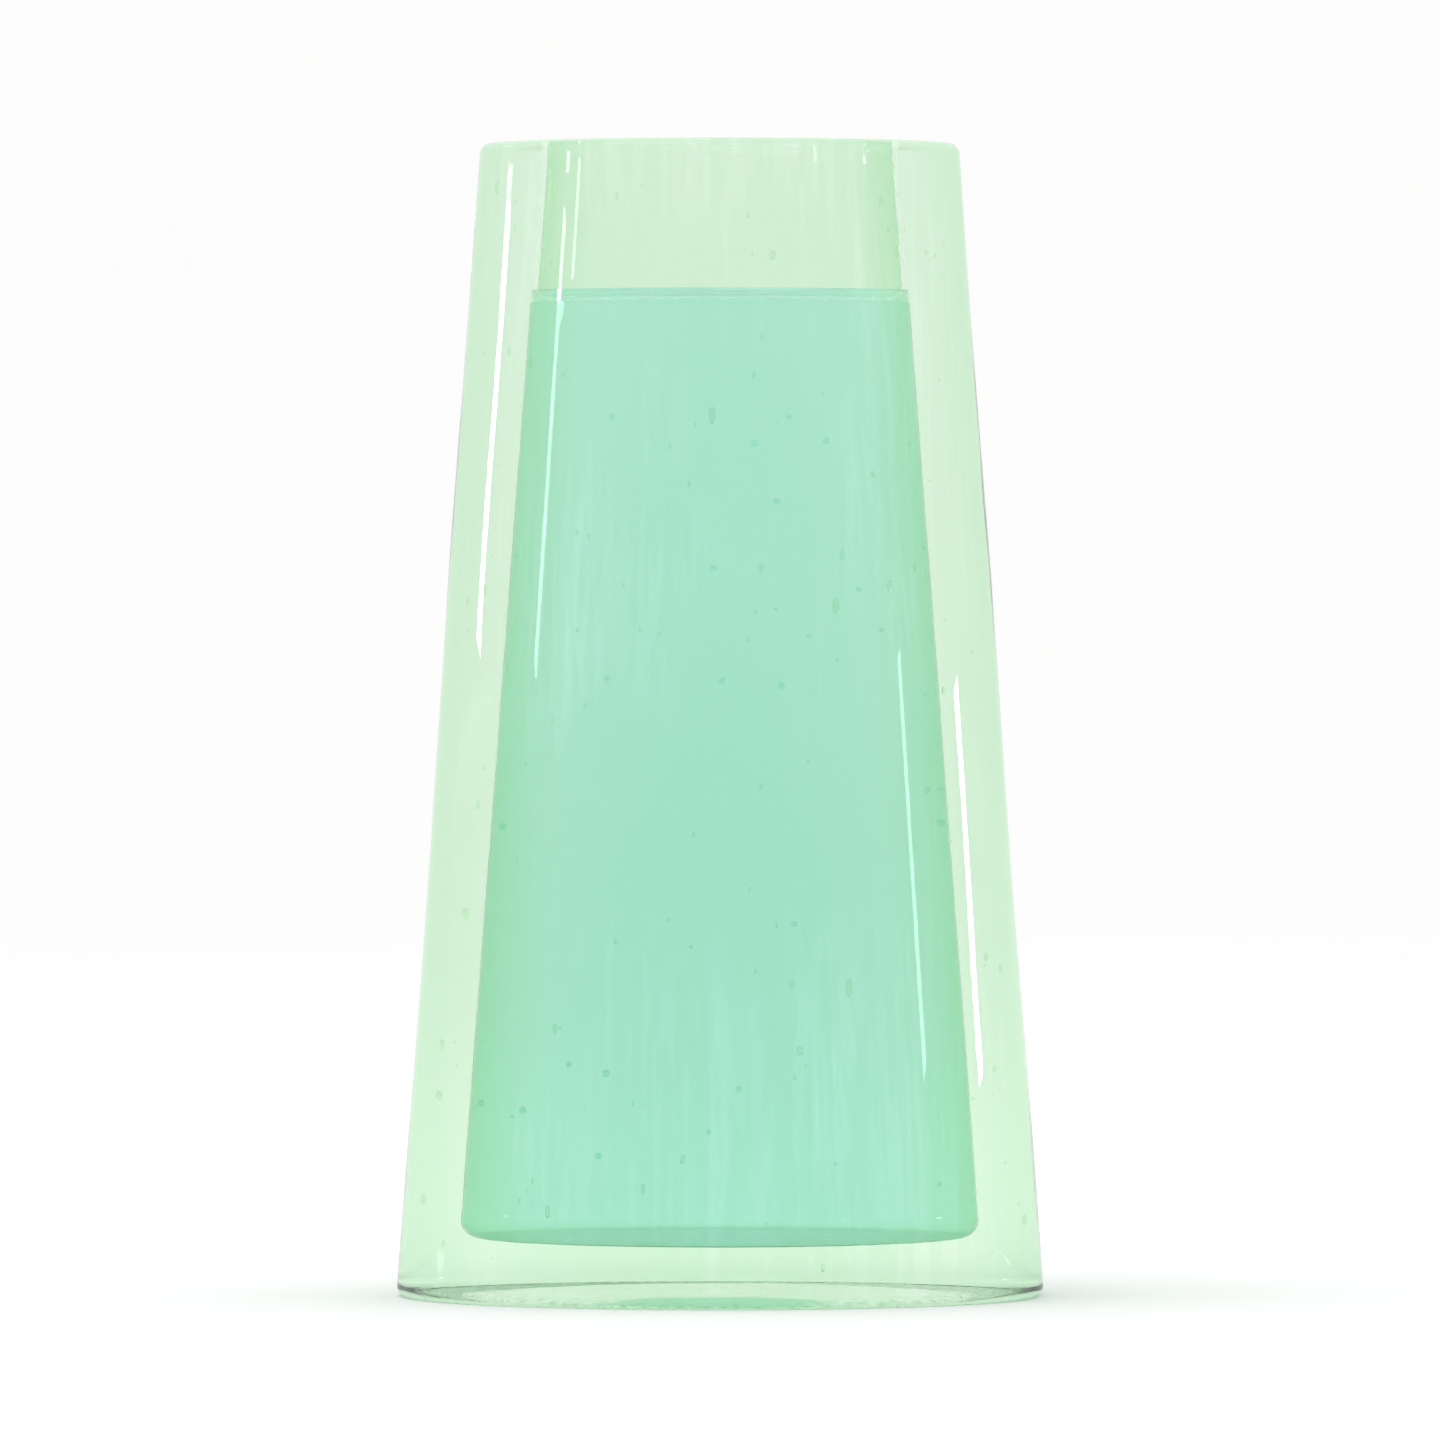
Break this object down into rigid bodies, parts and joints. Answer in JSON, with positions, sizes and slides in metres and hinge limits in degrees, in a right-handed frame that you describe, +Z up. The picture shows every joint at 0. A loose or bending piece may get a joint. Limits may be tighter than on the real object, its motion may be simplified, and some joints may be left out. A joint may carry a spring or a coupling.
{
  "type": "tapered glass vase",
  "caption": "Heavy tapered glass vase, narrow at the rim and wide at the foot, partly filled with water, for holding cut flowers.",
  "frame": {"origin": "centre of the ring that the foot stands on", "axes": "+Z up the vase's turned axis and out of its mouth; X and Y level, and alike because the vase is round"},
  "size_m": [0.1121, 0.1122, 0.2],
  "materials": {
    "glass": "polished",
    "water": "gloss"
  },
  "bodies": {
    "root": {"vase_body": "glass", "water": "water"}
  },
  "joints": []
}
